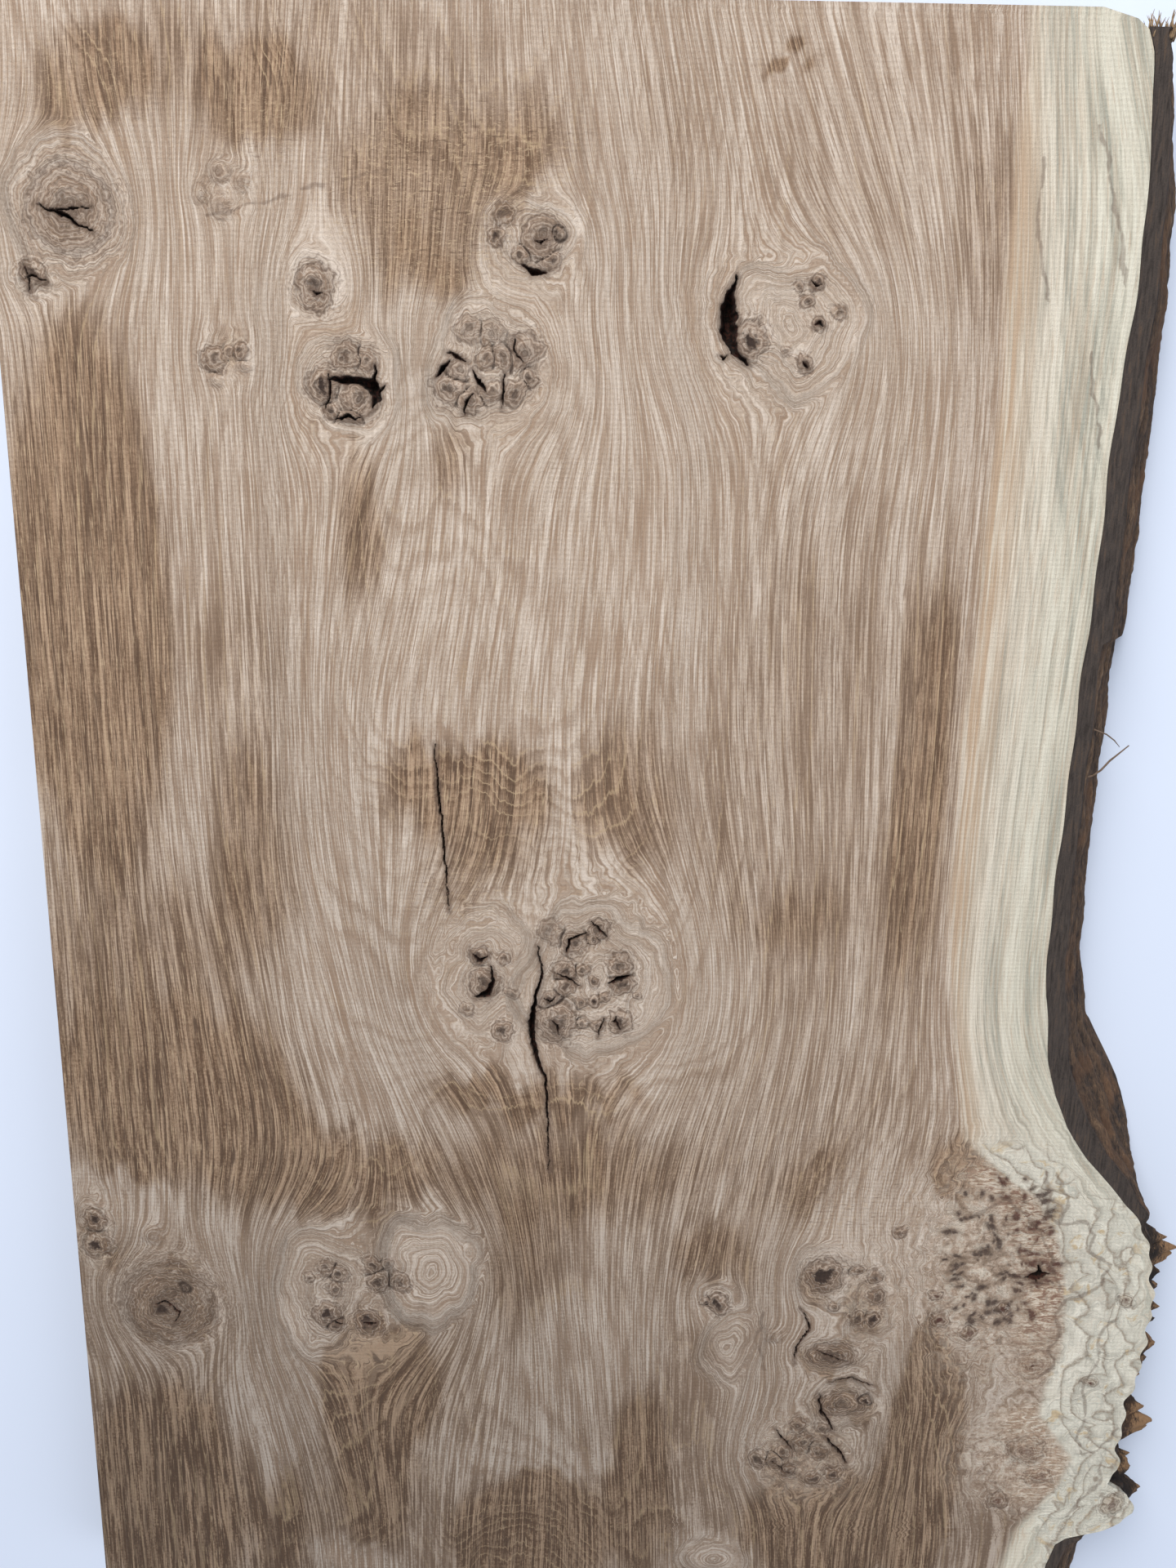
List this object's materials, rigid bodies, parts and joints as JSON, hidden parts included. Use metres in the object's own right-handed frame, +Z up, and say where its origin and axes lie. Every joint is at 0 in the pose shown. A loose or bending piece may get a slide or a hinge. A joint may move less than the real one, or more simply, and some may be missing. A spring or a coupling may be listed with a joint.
{
  "type": "live-edge oak burl slab",
  "caption": "Thick rough-sawn board of burl oak with knots, drying cracks and a bark-covered live edge, for tabletops, shelves and display.",
  "frame": {"origin": "centre of the bounding box's base, which is the plane of the sawn back that the slab lies on", "axes": "+Z up through the thickness, from the sawn back to the sawn face; +Y along the trunk, from the burl end to the chipped end; +X across the slab, from the sawn edge to the live edge"},
  "size_m": [0.466, 0.652, 0.032],
  "materials": {
    "oak_wood": "rough sawn, unfinished",
    "oak_bark": "furrowed, dry"
  },
  "bodies": {
    "root": {"oak_slab": "oak_wood", "bark": "oak_bark"}
  },
  "joints": []
}
